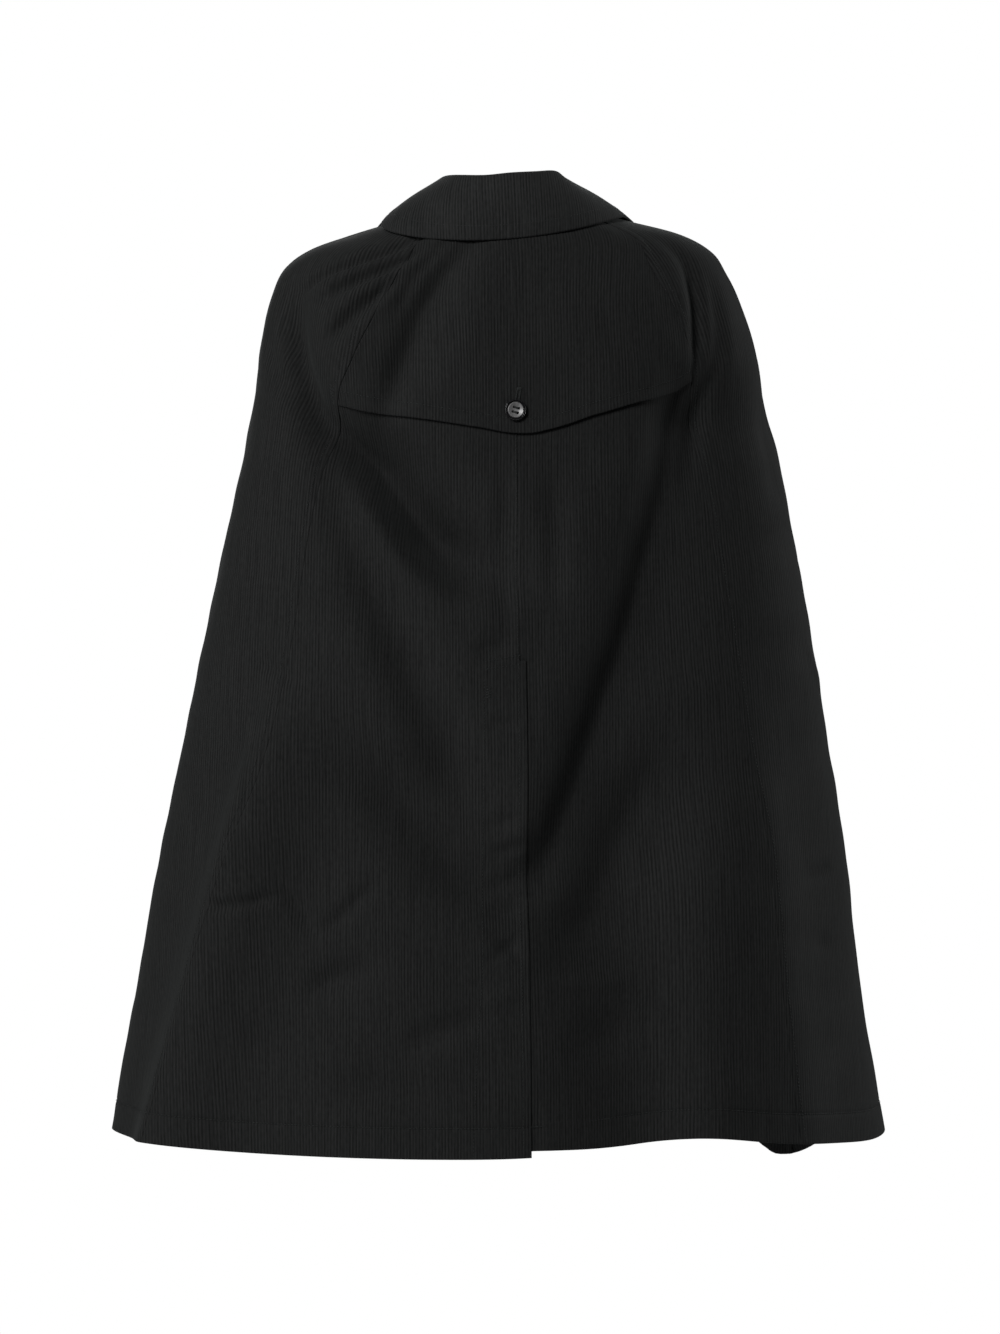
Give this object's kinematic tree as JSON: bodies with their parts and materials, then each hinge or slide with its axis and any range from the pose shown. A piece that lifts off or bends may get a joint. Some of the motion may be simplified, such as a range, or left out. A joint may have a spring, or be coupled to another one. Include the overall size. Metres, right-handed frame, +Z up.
{
  "type": "raglan cape",
  "caption": "Black raglan cape, hollow as if worn, with a turned-down collar, a buttoned storm flap on the back, a lapped centre-back vent and an open hem.",
  "frame": {"origin": "on the body's axis at the level of the side neck, where the wearer's neck and shoulders hold the cape up", "axes": "+Z up towards the collar, -Y out of the front, +Y out of the back with the storm flap and the vent, +X to the wearer's left"},
  "size_m": [0.733, 0.3881, 0.9462],
  "materials": {
    "gabardine": "black wool gabardine with a fine upright rib",
    "button": "polished black horn look"
  },
  "bodies": {
    "root": {"back_left": "gabardine", "back_right": "gabardine", "side_left": "gabardine", "side_right": "gabardine", "front_left": "gabardine", "front_right": "gabardine", "storm_flap": "gabardine", "collar_stand": "gabardine", "collar_fall": "gabardine", "button": "button"}
  },
  "joints": []
}
